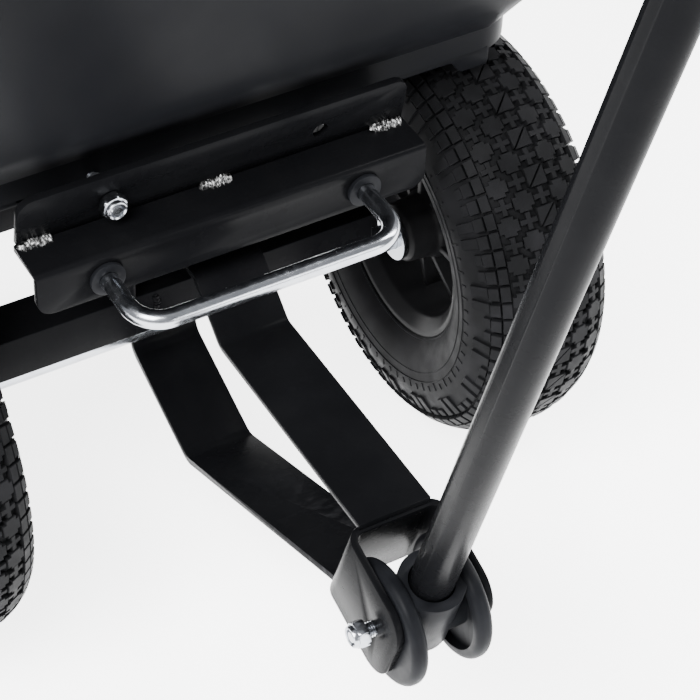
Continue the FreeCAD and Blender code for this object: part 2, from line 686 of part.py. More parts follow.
def tilted(shape):
    """Leans a piece drawn on the level clevis down to the front, about the pivot."""
    shape.rotate(V(0, PIVOT_Y, PIVOT_Z), V(1, 0, 0), CLEVIS_TILT)
    return shape


def on_clevis(y, z):
    """Point beside the leaning clevis, from its place beside the level one."""
    angle = math.radians(CLEVIS_TILT)
    dy = y - PIVOT_Y
    dz = z - PIVOT_Z
    return V(0, PIVOT_Y + dy * math.cos(angle) - dz * math.sin(angle),
             PIVOT_Z + dy * math.sin(angle) + dz * math.cos(angle))


def upper_strap():
    """Flat bar from the lower plate to the top of the clevis."""
    end = on_clevis(CLEVIS_WEB_Y - 2, CLEVIS_TOP_Z + PLATE / 2)
    points = [V(0, -20, 214), V(0, -63, 214), V(0, -92, 190), end]
    return bent_strap(points, 9, PLATE, -STRAP / 2, STRAP / 2).cut(clevis())


def lower_strap():
    """Flat bar from the axle beam down, forward and up to the foot of the clevis."""
    end = on_clevis(CLEVIS_WEB_Y - 2, CLEVIS_TOP_Z - CLEVIS_HEIGHT - PLATE / 2 + 1)
    points = [V(0, 16, 160), V(0, 16, 96), V(0, -53, 68), end]
    return bent_strap(points, 12, PLATE, -STRAP / 2, STRAP / 2).cut(clevis())


def clevis():
    """Flat bar bent to a U, seen from above, with rounded front ends."""
    outer = box(-CLEVIS_HALF, CLEVIS_HALF, CLEVIS_FRONT_Y, CLEVIS_WEB_Y, CLEVIS_TOP_Z - CLEVIS_HEIGHT,
                CLEVIS_TOP_Z)
    rear = [e for e in outer.Edges if all(abs(v.Y - CLEVIS_WEB_Y) < 0.01 for v in e.Vertexes)
            and abs(e.Vertexes[0].Z - e.Vertexes[-1].Z) > 1]
    outer = outer.makeFillet(9, rear)
    inner_half = CLEVIS_HALF - PLATE
    inner = box(-inner_half, inner_half, CLEVIS_FRONT_Y - 9, CLEVIS_WEB_Y - PLATE, 100, 200)
    inner_rear = [e for e in inner.Edges if all(abs(v.Y - CLEVIS_WEB_Y + PLATE) < 0.01 for v in e.Vertexes)
                  and abs(e.Vertexes[0].Z - e.Vertexes[-1].Z) > 1]
    shape = outer.cut(inner.makeFillet(5, inner_rear))
    front = [e for e in shape.Edges if all(abs(v.Y - CLEVIS_FRONT_Y) < 0.01 for v in e.Vertexes)
             and abs(e.Vertexes[0].X - e.Vertexes[-1].X) > 1]
    shape = shape.makeFillet(16, front)
    return tilted(shape.cut(cylinder_x(-40, 40, PIVOT_Y, PIVOT_Z, 4.0)))


def pivot_bolt():
    shank = cylinder_x(-CLEVIS_HALF - 12, CLEVIS_HALF, PIVOT_Y, PIVOT_Z, 4.0)
    return shank.fuse(hexagon(V(CLEVIS_HALF, PIVOT_Y, PIVOT_Z), (1, 0, 0), 13, 5.3))


def pivot_nut():
    return nyloc_nut(V(-CLEVIS_HALF - 4.5, PIVOT_Y, PIVOT_Z), (-1, 0, 0), 4.0, 13, 8)


# ---------------------------------------------------------------- drawbar, drawn upright on the pivot

def at_drawbar(shape):
    """Turns a piece that was drawn along +Z from the pivot to the drawbar's rest angle."""
    shape.rotate(V(0, 0, 0), V(1, 0, 0), 90 - DRAWBAR_ANGLE)
    shape.translate(V(0, PIVOT_Y, PIVOT_Z))
    return shape


def drawbar_hub():
    """Moulded spool: two dished discs, a boss on the pivot and a socket for the tube."""
    disc = cylinder_x(DISC_X0, DISC_X1, 0, 0, DISC_R)
    rims = [e for e in disc.Edges if abs(e.Length - 2 * math.pi * DISC_R) < 0.1]
    disc = disc.makeFillet(4.0, rims)
    dish = cylinder_x(DISC_X0 - 1, DISC_X0 + 4.5, 0, 0, DISC_R - 6)
    dish = dish.cut(cylinder_x(0, 40, 0, 0, SOCKET_R - 2))
    disc = disc.cut(dish)
    boss = cylinder_x(-DISC_X0 - 1, DISC_X0 + 1, 0, 0, 15)
    socket = Part.makeCylinder(SOCKET_R, SOCKET_TOP + 14, V(0, 0, -14), V(0, 0, 1))
    socket = socket.common(box(-DISC_X0 - 3, DISC_X0 + 3, -40, 40, -40, 12).fuse(
        Part.makeCylinder(SOCKET_R, 30, V(0, 0, SOCKET_TOP - 24), V(0, 0, 1))))
    body = boss.fuse([socket, disc, mirrored(disc)])
    body = body.cut(Part.makeCylinder(TUBE_R + 0.8, 40, V(0, 0, 8), V(0, 0, 1)))
    return at_drawbar(body.cut(cylinder_x(-40, 40, 0, 0, 4.0 + RUN_FIT))).cut(hub_pin())


def tube_along(z0, z1, radius, wall):
    outer = Part.makeCylinder(radius, z1 - z0, V(0, 0, z0), V(0, 0, 1))
    return outer.cut(Part.makeCylinder(radius - wall, z1 - z0 + 2, V(0, 0, z0 - 1), V(0, 0, 1)))


def lower_tube():
    tube = tube_along(8, LOWER_TUBE_END, TUBE_R, TUBE_WALL)
    for z in (HUB_SCREW_Z, LOWER_TUBE_END - 22):
        tube = tube.cut(cylinder_x(-30, 30, 0, z, SCREW_R + 0.1))
    return at_drawbar(tube)


def upper_tube():
    """Reduced end in the lower tube, full size above it."""
    plug_r = TUBE_R - TUBE_WALL - 0.1
    plug = tube_along(LOWER_TUBE_END - 50, LOWER_TUBE_END, plug_r, TUBE_WALL)
    main = tube_along(LOWER_TUBE_END, UPPER_TUBE_END, TUBE_R, TUBE_R - plug_r + TUBE_WALL)
    tube = plug.fuse(main).cut(cylinder_x(-30, 30, 0, LOWER_TUBE_END - 22, 2.6))
    return at_drawbar(tube)


def hub_pin():
    """Pin that holds the tube, inside the hub's socket."""
    return at_drawbar(cylinder_x(1 - SOCKET_R, SOCKET_R - 1, 0, HUB_SCREW_Z, SCREW_R))


def drawbar_screws():
    """Pin through the hub socket, and round-headed screw through the tube joint."""
    z = LOWER_TUBE_END - 22
    shank = cylinder_x(-TUBE_R - 1, TUBE_R + 1, 0, z, SCREW_R)
    head = cylinder_x(TUBE_R, TUBE_R + 2.6, 0, z, 4.6)
    return group([hub_pin(), at_drawbar(shank.fuse([head, mirrored(head)]))])


def hand_loop():
    """D-shaped loop on the top of the upper tube."""
    base = UPPER_TUBE_END + LOOP_R
    top = base + LOOP_LENGTH
    points = [V(0, 0, base), V(-LOOP_HALF, 0, base + 40), V(-LOOP_HALF, 0, top), V(0, 0, top)]
    half = rod(points, 16, LOOP_R)
    neck = Part.makeCylinder(TUBE_R, LOOP_R * 2 + 6, V(0, 0, UPPER_TUBE_END), V(0, 0, 1))
    hollow = rod(points, 16, LOOP_R - TUBE_WALL)
    body = half.fuse([mirrored(half), neck]).cut([hollow, mirrored(hollow)])
    return at_drawbar(body)


def hand_grip():
    """Ribbed sleeve on the cross bar of the loop."""
    z = UPPER_TUBE_END + LOOP_R + LOOP_LENGTH
    half = LOOP_HALF - 20
    sleeve = cylinder_x(-half, half, 0, z, GRIP_R).cut(cylinder_x(-half - 1, half + 1, 0, z, LOOP_R))
    ends = [e for e in sleeve.Edges if abs(e.Length - 2 * math.pi * GRIP_R) < 0.1]
    return at_drawbar(sleeve.makeFillet(2.5, ends))


def all_nodes():
    nodes = {
        "chassis_rails": chassis_rails(),
        "front_cross_member": front_cross_member(),
        "latch_catch_plates": catch_plates(),
        "cross_members": cross_members(),
        "rail_end_caps": rail_caps(),
        "steering_spacers": steering_spacers(),
        "steering_upper_plate": upper_steering_plate(),
        "steering_wear_disc": steering_wear_disc(),
        "kingpin": kingpin(),
        "kingpin_nut": kingpin_nut(),
        "rear_axle_beam": axle_beam(REAR_AXLE_Y),
        "rear_axle_uprights": rear_axle_frame(),
        "rear_axle_braces": rear_braces(),
        "rear_axle": axle_rod(REAR_AXLE_Y),
        "rear_axle_washers": axle_washers(REAR_AXLE_Y),
        "rear_axle_cotters": axle_cotters(REAR_AXLE_Y),
        "tub_hinge_lugs": hinge_lugs(),
        "tub_hinge_rod": hinge_rod(),
        "steering_lower_plate": lower_steering_plate(),
        "steering_uprights": steering_uprights(),
        "steering_stop_stud": steering_stop_stud(),
        "front_axle_beam": axle_beam(0.0),
        "front_axle": axle_rod(0.0),
        "front_axle_washers": axle_washers(0.0),
        "front_axle_cotters": axle_cotters(0.0),
        "upper_draw_strap": upper_strap(),
        "lower_draw_strap": lower_strap(),
        "drawbar_clevis": clevis(),
        "pivot_bolt": pivot_bolt(),
        "pivot_nut": pivot_nut(),
        "drawbar_hub": drawbar_hub(),
        "drawbar_lower_tube": lower_tube(),
        "drawbar_upper_tube": upper_tube(),
        "drawbar_screws": drawbar_screws(),
        "hand_loop": hand_loop(),
        "hand_grip": hand_grip(),
        "tub": tub(),
        "tub_hinge_brackets": hinge_brackets(),
        "tub_hinge_screws": hinge_bracket_screws(),
        "latch_lower_angle": lower_angle(),
        "latch_upper_plate": upper_plate(),
        "latch_bolt": latch_bolt(),
        "latch_nut": latch_nut(),
        "latch_springs": latch_springs(),
        "handle_bushes": handle_bushes(),
        "release_handle": release_handle(),
        "handle_washers": handle_washers(),
        "handle_pins": handle_pins(),
    }
    pieces = {
        "tyre": tyre_at_origin(),
        "rim": rim_at_origin(),
        "bushes": bushes_at_origin(),
    }
    for name, side, axle_y in (("front_left", -1, 0.0), ("front_right", 1, 0.0),
                               ("rear_left", -1, REAR_AXLE_Y), ("rear_right", 1, REAR_AXLE_Y)):
        for piece, shape in pieces.items():
            nodes[piece + "_" + name] = place_wheel(shape, side, axle_y)
    return nodes


for node_name, node_shape in all_nodes().items():
    moved = node_shape.copy()
    moved.translate(V(0, SHIFT_Y, 0))
    moved.exportStep("parts/" + node_name + ".step")
    size = moved.BoundBox
    print(node_name, len(moved.Solids), moved.isValid(), round(moved.Volume),
          [round(v, 1) for v in (size.XMin, size.XMax, size.YMin, size.YMax, size.ZMin, size.ZMax)])
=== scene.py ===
"""Looks of the tipping garden cart: soft-edged steel, moulded tub, treaded tyres and zinc hardware."""

import json
import math

import bmesh
import bpy
from mathutils import Matrix, Vector, noise


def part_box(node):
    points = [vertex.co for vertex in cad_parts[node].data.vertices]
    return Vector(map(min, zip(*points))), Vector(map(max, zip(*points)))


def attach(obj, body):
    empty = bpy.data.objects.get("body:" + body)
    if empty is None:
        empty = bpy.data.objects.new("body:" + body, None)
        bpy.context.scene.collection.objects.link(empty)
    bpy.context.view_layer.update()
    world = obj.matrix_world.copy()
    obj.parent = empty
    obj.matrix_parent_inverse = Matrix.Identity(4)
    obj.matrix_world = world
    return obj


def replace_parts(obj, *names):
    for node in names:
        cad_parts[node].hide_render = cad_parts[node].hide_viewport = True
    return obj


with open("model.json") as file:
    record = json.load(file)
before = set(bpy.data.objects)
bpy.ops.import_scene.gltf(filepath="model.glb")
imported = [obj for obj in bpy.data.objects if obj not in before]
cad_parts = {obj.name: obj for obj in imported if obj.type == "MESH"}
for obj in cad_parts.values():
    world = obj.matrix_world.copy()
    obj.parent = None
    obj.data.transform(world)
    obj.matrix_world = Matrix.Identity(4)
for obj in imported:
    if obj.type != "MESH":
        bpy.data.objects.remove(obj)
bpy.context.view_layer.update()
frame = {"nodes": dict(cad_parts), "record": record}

MM = 0.001
RECORD = frame["record"]
BODY_OF = {node: body for body, nodes in RECORD["behaviour"]["bodies"].items() for node in nodes}
SLOT_OF = {row["node"]: row["material_slot"] for row in RECORD["subparts"]}
WHEELS = ("front_left", "front_right", "rear_left", "rear_right")


def middle(node):
    low, high = (Vector(c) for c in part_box(node))
    return (low + high) / 2


def low_corner(node):
    return Vector(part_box(node)[0])


def high_corner(node):
    return Vector(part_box(node)[1])


# ---------------------------------------------------------------- camera, light and floor

CAMERA_PLACE = (-0.4492, -1.0190, 1.0918)
CAMERA_YAW = 31.9          # degrees from +Y towards +X
CAMERA_PITCH = 44.35       # degrees downwards
CAMERA_ROLL = 3.08
CAMERA_LENS = 128.6
SENSOR = 36.0


def make_camera():
    yaw = math.radians(CAMERA_YAW)
    pitch = math.radians(CAMERA_PITCH)
    data = bpy.data.cameras.new("view")
    data.lens = CAMERA_LENS
    data.sensor_width = SENSOR
    data.clip_start = 0.05
    camera = bpy.data.objects.new("view", data)
    bpy.context.collection.objects.link(camera)
    turn = Matrix.Rotation(-yaw, 4, "Z") @ Matrix.Rotation(math.pi / 2 - pitch, 4, "X")
    roll = Matrix.Rotation(math.radians(CAMERA_ROLL), 4, "Z")
    camera.matrix_world = Matrix.Translation(CAMERA_PLACE) @ turn @ roll
    bpy.context.scene.camera = camera


def area_light(name, place, aim, size, power):
    data = bpy.data.lights.new(name, "AREA")
    data.shape = "RECTANGLE"
    data.size, data.size_y = size
    data.energy = power
    light = bpy.data.objects.new(name, data)
    bpy.context.collection.objects.link(light)
    light.location = place
    light.rotation_euler = (Vector(aim) - Vector(place)).to_track_quat("-Z", "Y").to_euler()


def make_lights():
    middle_of_front = (0.0, -0.25, 0.2)
    area_light("key", (-1.5, -1.1, 2.4), middle_of_front, (1.5, 1.5), 230)
    area_light("front_fill", (0.9, -2.8, 0.9), middle_of_front, (1.2, 0.7), 26)
    area_light("right_strip", (2.1, -0.5, 1.7), middle_of_front, (0.5, 2.0), 90)
    area_light("rear", (0.5, 2.3, 2.0), (0.0, 0.1, 0.3), (1.8, 0.9), 110)
    world = bpy.data.worlds.new("studio")
    world.use_nodes = True
    world.node_tree.nodes["Background"].inputs["Color"].default_value = (0.96, 0.97, 1.0, 1)
    world.node_tree.nodes["Background"].inputs["Strength"].default_value = 0.55
    bpy.context.scene.world = world


def make_floor():
    half = 12.0
    mesh = bpy.data.meshes.new("floor")
    corners = [(-half, -half, 0), (half, -half, 0), (half, half, 0), (-half, half, 0)]
    mesh.from_pydata(corners, [], [(0, 1, 2, 3)])
    floor = bpy.data.objects.new("floor", mesh)
    bpy.context.collection.objects.link(floor)
    material = bpy.data.materials.new("pale_floor")
    material.use_nodes = True
    shader = material.node_tree.nodes["Principled BSDF"]
    shader.inputs["Base Color"].default_value = (0.95, 0.95, 0.95, 1)
    shader.inputs["Roughness"].default_value = 0.8
    shader.inputs["Specular IOR Level"].default_value = 0.1
    shader.inputs["Emission Color"].default_value = (1, 1, 1, 1)
    shader.inputs["Emission Strength"].default_value = 4.2
    floor.data.materials.append(material)


# ---------------------------------------------------------------- materials

NOISE_ROUGHNESS = 0.55
# Noise scale that breaks up the lighter edges, which are partly edge wear and partly painted highlight.
EDGE_WEAR_AND_HIGHLIGHT_SCALE = 160.0


class Surface:
    """A Principled material with noise layers added one by one."""

    def __init__(self, name, base, roughness, metallic=0.0, specular=None):
        self.material = bpy.data.materials.new(name)
        self.material.use_nodes = True
        self.tree = self.material.node_tree
        self.shader = self.tree.nodes["Principled BSDF"]
        self.shader.inputs["Base Color"].default_value = (*base, 1)
        self.shader.inputs["Roughness"].default_value = roughness
        self.shader.inputs["Metallic"].default_value = metallic
        if specular is not None:
            self.shader.inputs["Specular IOR Level"].default_value = specular
        self.base = base
        self.roughness = roughness
        self.place = self.tree.nodes.new("ShaderNodeTexCoord").outputs["Object"]
        self.colour = None
        self.normal = None

    def add(self, kind, **values):
        node = self.tree.nodes.new(kind)
        for key, value in values.items():
            if key in node.inputs:
                node.inputs[key].default_value = value
            else:
                setattr(node, key, value)
        return node

    def link(self, a, b):
        self.tree.links.new(a, b)

    def noise(self, scale, detail=4.0):
        layer = self.add("ShaderNodeTexNoise", Scale=scale, Detail=detail, Roughness=NOISE_ROUGHNESS)
        self.link(self.place, layer.inputs["Vector"])
        return layer.outputs["Fac"]

    def vary_colour(self, other, scale, low=0.4, high=0.7):
        ramp = self.add("ShaderNodeValToRGB")
        ramp.color_ramp.elements[0].position = low
        ramp.color_ramp.elements[1].position = high
        ramp.color_ramp.elements[0].color = (*self.base, 1)
        ramp.color_ramp.elements[1].color = (*other, 1)
        self.link(self.noise(scale), ramp.inputs["Fac"])
        self.link(ramp.outputs["Color"], self.shader.inputs["Base Color"])
        self.colour = ramp.outputs["Color"]

    def lighten_edges_for_wear_and_highlight(self, edge_wear_and_highlight, low, high, amount):
        """Blends the colour towards a lighter one on convex edges, broken up by noise: partly edge wear,
        partly a painted highlight along the edges. Comes after vary_colour.
        """
        geometry = self.add("ShaderNodeNewGeometry")
        edge = self.add("ShaderNodeMapRange")
        edge.inputs["From Min"].default_value = low
        edge.inputs["From Max"].default_value = high
        self.link(geometry.outputs["Pointiness"], edge.inputs["Value"])
        patch = self.add("ShaderNodeMapRange")
        patch.inputs["From Min"].default_value = 0.45
        patch.inputs["From Max"].default_value = 0.7
        patch.inputs["To Max"].default_value = amount
        self.link(self.noise(EDGE_WEAR_AND_HIGHLIGHT_SCALE), patch.inputs["Value"])
        both = self.add("ShaderNodeMath", operation="MULTIPLY")
        self.link(edge.outputs["Result"], both.inputs[0])
        self.link(patch.outputs["Result"], both.inputs[1])
        mix = self.add("ShaderNodeMix", data_type="RGBA")
        self.link(both.outputs["Value"], mix.inputs["Factor"])
        self.link(self.colour, mix.inputs["A"])
        mix.inputs["B"].default_value = (*edge_wear_and_highlight, 1)
        self.link(mix.outputs["Result"], self.shader.inputs["Base Color"])

    def vary_roughness(self, spread, scale):
        change = self.add("ShaderNodeMapRange")
        change.inputs["From Min"].default_value = 0.3
        change.inputs["From Max"].default_value = 0.7
        change.inputs["To Min"].default_value = self.roughness - spread
        change.inputs["To Max"].default_value = self.roughness + spread
        self.link(self.noise(scale), change.inputs["Value"])
        self.link(change.outputs["Result"], self.shader.inputs["Roughness"])

    def bump(self, scale, height, detail=2.0):
        layer = self.add("ShaderNodeBump", Strength=1.0, Distance=height)
        self.link(self.noise(scale, detail), layer.inputs["Height"])
        if self.normal:
            self.link(self.normal, layer.inputs["Normal"])
        self.normal = layer.outputs["Normal"]
        self.link(self.normal, self.shader.inputs["Normal"])


def steel_paint(name, edge_wear_and_highlight):
    surface = Surface(name, (0.0032, 0.0033, 0.0038), 0.27, specular=0.014)
    surface.vary_colour((0.0042, 0.0043, 0.0048), 30.0)
    # Lighter convex edges: partly edge wear, partly a painted highlight along the edges.
    if edge_wear_and_highlight:
        surface.lighten_edges_for_wear_and_highlight((0.04, 0.04, 0.043), 0.57, 0.68, 0.4)
    surface.vary_roughness(0.02, 90.0)
    surface.bump(520.0, 0.000012)
    surface.bump(2600.0, 0.000004)
    return surface.material


def tub_plastic():
    surface = Surface("moulded_tub_plastic", (0.0042, 0.0044, 0.0052), 0.33, specular=0.015)
    surface.vary_colour((0.0052, 0.0054, 0.006), 9.0)
    surface.vary_roughness(0.05, 35.0)
    surface.bump(1800.0, 0.000022, detail=3.0)
    surface.bump(12.0, 0.0006, detail=1.0)
    return surface.material


def zinc():
    surface = Surface("zinc_plate", (0.40, 0.42, 0.45), 0.22, metallic=1.0)
    surface.vary_colour((0.33, 0.34, 0.37), 90.0, 0.35, 0.75)
    surface.vary_roughness(0.06, 240.0)
    surface.bump(900.0, 0.000005)
    return surface.material


def tyre_rubber():
    surface = Surface("tyre_rubber", (0.0058, 0.0059, 0.0063), 0.44, specular=0.016)
    surface.vary_colour((0.010, 0.010, 0.011), 45.0, 0.4, 0.75)
    surface.vary_roughness(0.09, 110.0)
    surface.bump(1300.0, 0.00005, detail=4.0)
    return surface.material


def rim_plastic():
    surface = Surface("rim_plastic", (0.006, 0.006, 0.0065), 0.34, specular=0.04)
    surface.vary_colour((0.009, 0.009, 0.0095), 30.0)
    surface.vary_roughness(0.06, 80.0)
    surface.bump(900.0, 0.00003)
    return surface.material


def hub_plastic():
    surface = Surface("moulded_hub_plastic", (0.0052, 0.0055, 0.0066), 0.42, specular=0.035)
    surface.vary_colour((0.0085, 0.009, 0.0105), 60.0)
    surface.vary_roughness(0.06, 140.0)
    surface.bump(1500.0, 0.00004, detail=3.0)
    return surface.material


def bush_plastic():
    surface = Surface("natural_nylon", (0.50, 0.49, 0.45), 0.45)
    surface.vary_colour((0.40, 0.39, 0.36), 120.0)
    surface.bump(1000.0, 0.00003)
    return surface.material


def grip_rubber():
    surface = Surface("grip_rubber", (0.011, 0.011, 0.011), 0.65, specular=0.2)
    surface.vary_colour((0.018, 0.018, 0.018), 70.0)
    surface.vary_roughness(0.08, 200.0)
    surface.bump(1600.0, 0.00008, detail=4.0)
    return surface.material


def bare_weld():
    surface = Surface("bare_weld", (0.20, 0.20, 0.20), 0.34, metallic=1.0)
    surface.vary_colour((0.03, 0.03, 0.03), 420.0, 0.42, 0.6)
    surface.vary_roughness(0.12, 500.0)
    surface.bump(700.0, 0.0002, detail=4.0)
    return surface.material


MATERIALS = {
    "black_steel": steel_paint("black_powder_coat", True),
    "tub_plastic": tub_plastic(),
    "zinc_plate": zinc(),
    "tyre_rubber": tyre_rubber(),
    "rim_plastic": rim_plastic(),
    "moulded_plastic": hub_plastic(),
    "bush_plastic": bush_plastic(),
    "grip_rubber": grip_rubber(),
}
BARE_WELD = bare_weld()
TUBE_PAINT = steel_paint("black_tube_coat", False)
TUBES = ("drawbar_lower_tube", "drawbar_upper_tube", "hand_loop")


def surface_of(node):
    return TUBE_PAINT if node in TUBES else MATERIALS[SLOT_OF[node]]


# ---------------------------------------------------------------- mesh helpers

def new_object(name, mesh, material, body, smooth_angle=35.0):
    piece = bpy.data.objects.new(name, mesh)
    bpy.context.collection.objects.link(piece)
    mesh.materials.clear()
    mesh.materials.append(material)
    for face in mesh.polygons:
        face.use_smooth = True
    mesh.set_sharp_from_angle(angle=math.radians(smooth_angle))
    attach(piece, body)
    return piece


def from_bmesh(bm, name):
    bmesh.ops.recalc_face_normals(bm, faces=bm.faces)
    mesh = bpy.data.meshes.new(name)
    bm.to_mesh(mesh)
    bm.free()
    return mesh


def with_modifiers(mesh, *settings):
    """Returns a new mesh with the listed modifiers worked in."""
    holder = bpy.data.objects.new("holder", mesh)
    bpy.context.collection.objects.link(holder)
    for kind, values in settings:
        modifier = holder.modifiers.new(kind, kind)
        for key, value in values.items():
            setattr(modifier, key, value)
    graph = bpy.context.evaluated_depsgraph_get()
    result = bpy.data.meshes.new_from_object(holder.evaluated_get(graph))
    bpy.data.objects.remove(holder)
    return result


def soft_edged(node, width, segments=2, angle=28.0):
    """Copies a CAD node's mesh, rounds its sharp edges and shows the copy in its place."""
    bm = bmesh.new()
    bm.from_mesh(frame["nodes"][node].data)
    bmesh.ops.remove_doubles(bm, verts=bm.verts, dist=2e-6)
    bmesh.ops.dissolve_limit(bm, angle_limit=math.radians(0.6), verts=bm.verts, edges=bm.edges)
    mesh = with_modifiers(from_bmesh(bm, node), ("BEVEL", {
        "width": width, "segments": segments, "limit_method": "ANGLE", "angle_limit": math.radians(angle),
        "use_clamp_overlap": True, "harden_normals": False, "miter_outer": "MITER_ARC"}))
    piece = new_object(node + "_edged", mesh, surface_of(node), BODY_OF[node])
    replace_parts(piece, node)
    return piece


def lathe(bm, profile, frame_matrix, steps):
    """Closed ring from profile points (along, radius), turned about the X axis of frame_matrix."""
    rings = []
    for k in range(steps):
        turn = 2 * math.pi * k / steps
        ring = []
        for along, radius in profile:
            point = Vector((along, radius * math.cos(turn), radius * math.sin(turn)))
            ring.append(bm.verts.new(frame_matrix @ point))
        rings.append(ring)
    count = len(profile)
    for k in range(steps):
        here, there = rings[k], rings[(k + 1) % steps]
        for i in range(count):
            j = (i + 1) % count
            bm.faces.new((here[i], here[j], there[j], there[i]))


def rounded(points, radius, steps):
    """Replaces each corner of a closed 2-D outline by a small curve."""
    result = []
    count = len(points)
    for i in range(count):
        corner = Vector(points[i])
        before = Vector(points[i - 1]) - corner
        after = Vector(points[(i + 1) % count]) - corner
        reach = min(radius, before.length * 0.45, after.length * 0.45)
        first = corner + before.normalized() * reach
        last = corner + after.normalized() * reach
        for k in range(steps + 1):
            t = k / steps
            result.append(tuple(first * (1 - t) ** 2 + corner * (2 * t * (1 - t)) + last * t ** 2))
    return result


def add_box(bm, low, high):
    verts = [bm.verts.new((x, y, z)) for x in (low[0], high[0]) for y in (low[1], high[1])
             for z in (low[2], high[2])]
    for face in ((0, 1, 3, 2), (4, 6, 7, 5), (0, 4, 5, 1), (2, 3, 7, 6), (0, 2, 6, 4), (1, 5, 7, 3)):
        bm.faces.new([verts[i] for i in face])


def axis_matrix(origin, along, up):
    """Matrix whose X axis is along and whose Z axis is near up."""
    x = Vector(along).normalized()
    y = Vector(up).cross(x).normalized()
    z = x.cross(y)
    return Matrix.Translation(origin) @ Matrix((x, y, z)).transposed().to_4x4()


# ---------------------------------------------------------------- tyres and rims

TREAD_ROWS = 36
OUTER_COLUMN = 2            # columns run from this one on the left to the same on the right
GROOVE_DEPTH = 3.4 * MM
GROOVE = 0.75 * MM
SPOKES = 9


class TyreShape:
    """The outer section of a tyre: distance along the section from the crown gives side and radius."""

    def __init__(self, half_width, radius, bead_radius, bead_half):
        crown_half = half_width - 5 * MM
        shoulder_radius = radius - 16 * MM
        outline = [(0.0, radius), (crown_half * 0.35, radius - 1.0 * MM),
                   (crown_half * 0.62, radius - 4.2 * MM), (crown_half * 0.84, radius - 9.0 * MM),
                   (crown_half, shoulder_radius),
                   (half_width - 0.6 * MM, radius - 28 * MM), (half_width, radius - 38 * MM),
                   (half_width - 3.5 * MM, radius - 52 * MM), (bead_half, bead_radius)]
        self.points = [Vector(p) for p in outline]
        self.lengths = [0.0]
        for a, b in zip(self.points, self.points[1:]):
            self.lengths.append(self.lengths[-1] + (b - a).length)
        self.total = self.lengths[-1]

    def at(self, s):
        """Side and radius at signed distance s, on a smooth curve through the outline."""
        sign = -1.0 if s < 0 else 1.0
        s = min(abs(s), self.total)
        i = 0
        while i < len(self.lengths) - 2 and self.lengths[i + 1] < s:
            i += 1
        t = (s - self.lengths[i]) / (self.lengths[i + 1] - self.lengths[i])
        mirror = Vector((-self.points[1].x, self.points[1].y))
        p0 = self.points[i - 1] if i > 0 else mirror
        p1, p2 = self.points[i], self.points[i + 1]
        p3 = self.points[i + 2] if i + 2 < len(self.points) else p2 * 2 - p1
        point = (p1 * 2 + (p2 - p0) * t + (p0 * 2 - p1 * 5 + p2 * 4 - p3) * t ** 2
                 + (p1 * 3 - p0 - p2 * 3 + p3) * t ** 3) * 0.5
        return Vector((point.x * sign, point.y))

    def place(self, s, turn, lift):
        """Point in wheel space (axle along X), lift above the section's curve."""
        step = 0.4 * MM
        here = self.at(s)
        tangent = (self.at(s + step) - self.at(s - step)).normalized()
        normal = Vector((-tangent.y, tangent.x))
        if normal.y < 0 and abs(s) < 1 * MM:
            normal = -normal
        point = here + normal * lift
        return Vector((point.x, point.y * math.cos(turn), point.y * math.sin(turn)))


def add_stud(bm, shape, outline, lift, sunk=0.6 * MM, bevel=0.35 * MM):
    """Raised tread block from an outline of (section distance, turn) pairs."""
    centre = Vector((sum(p[0] for p in outline), sum(p[1] for p in outline))) / len(outline)
    rings = []
    radius = shape.points[0].y
    for height, shrink in ((-sunk, 0.0), (lift - bevel, 0.12 * MM), (lift, 0.12 * MM + bevel)):
        ring = []
        for s, turn in outline:
            offset = Vector((s, turn * radius)) - Vector((centre.x, centre.y * radius))
            length = max(offset.length, 1e-6)
            moved = offset * max(0.0, 1 - shrink / length)
            ring.append(bm.verts.new(shape.place(centre.x + moved.x, centre.y + moved.y / radius, height)))
        rings.append(ring)
    count = len(outline)
    for lower, upper in zip(rings, rings[1:]):
        for i in range(count):
            bm.faces.new((lower[i], lower[(i + 1) % count], upper[(i + 1) % count], upper[i]))
    bm.faces.new(rings[-1])


def notched_square(s, turn, half, notch, radius):
    """Square with its four corners cut out, as (section distance, turn)."""
    inner = half - notch
    corners = [(inner, -half), (inner, -inner), (half, -inner), (half, inner), (inner, inner),
               (inner, half), (-inner, half), (-inner, inner), (-half, inner), (-half, -inner),
               (-inner, -inner), (-inner, -half)]
    return [(s + x, turn + y / radius) for x, y in corners]


def cross_outline(s, turn, reach, half, radius):
    corners = [(half, -half), (reach, -half), (reach, half), (half, half), (half, reach),
               (-half, reach), (-half, half), (-reach, half), (-reach, -half), (-half, -half),
               (-half, -reach), (half, -reach)]
    return [(s + x, turn + y / radius) for x, y in corners]


def triangle_half(s, turn, half, radius, side):
    gap = 0.55 * MM
    if side > 0:
        corners = [(half, -half + gap), (half, half), (-half + gap, half)]
    else:
        corners = [(-half, half - gap), (-half, -half), (half - gap, -half)]
    return [(s + x, turn + y / radius) for x, y in corners]


def rectangle(s0, s1, turn0, turn1):
    return [(s0, turn0), (s1, turn0), (s1, turn1), (s0, turn1)]


def tyre_mesh():
    """One tyre about the origin with its axle along X."""
    low, high = low_corner("tyre_front_right"), high_corner("tyre_front_right")
    rim_low, rim_high = low_corner("rim_front_right"), high_corner("rim_front_right")
    radius = (high.z - low.z) / 2
    half_width = (high.x - low.x) / 2 - 0.2 * MM
    flange_radius = (rim_high.z - rim_low.z) / 2
    bead_half = 27 * MM
    carcass = TyreShape(half_width, radius - GROOVE_DEPTH, flange_radius - 4 * MM, bead_half)
    bm = bmesh.new()
    section = []
    steps = 56
    for k in range(-steps, steps + 1):
        point = carcass.at(carcass.total * k / steps)
        section.append((point.x, point.y))
    inner = [(bead_half - 8 * MM, flange_radius - 4 * MM), (8 * MM - bead_half, flange_radius - 4 * MM)]
    lathe(bm, section + inner, Matrix(), 144)
    add_tread(bm, carcass)
    add_sidewall_rings(bm, carcass)
    return from_bmesh(bm, "tyre")


